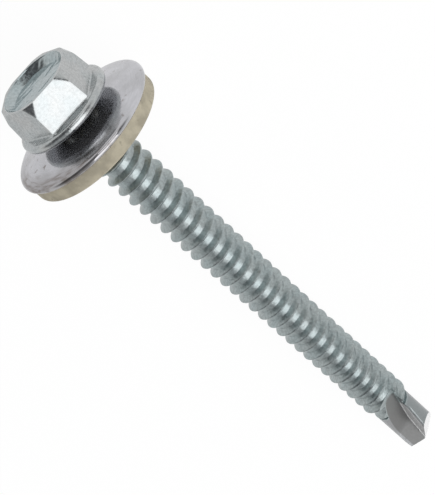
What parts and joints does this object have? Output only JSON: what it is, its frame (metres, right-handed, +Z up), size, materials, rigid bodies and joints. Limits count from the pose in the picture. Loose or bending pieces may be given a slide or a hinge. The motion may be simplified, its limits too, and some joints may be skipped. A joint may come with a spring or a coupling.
{
  "type": "self-drilling hex washer head screw with sealing washer",
  "caption": "Hex flange head self-drilling screw with a coarse right-hand thread, a fluted drill point and a loose metal washer bonded to a rubber seal.",
  "frame": {"origin": "centre of the bounding box's bottom face, on the surface the screw lies on", "axes": "+X runs along the shank towards the drill point, +Z is up; the shank slopes down to its point at the angle at which the screw rests on the washer's rim, the drill point and the last turn of the thread"},
  "size_m": [0.0746, 0.019, 0.0189],
  "materials": {
    "zinc_steel": "bright zinc plating",
    "washer_metal": "bright galvanised",
    "seal_rubber": "matte"
  },
  "bodies": {
    "screw_body": {"screw": "zinc_steel"},
    "washer_body": {"washer_plate": "washer_metal", "rubber_seal": "seal_rubber"}
  },
  "joints": [
    {"name": "washer_spin", "type": "hinge", "parent": "screw_body", "child": "washer_body", "pos_m": [-0.02895, 0, 0.00944], "axis": [0.9933, 0, -0.1157], "continuous": true}
  ]
}
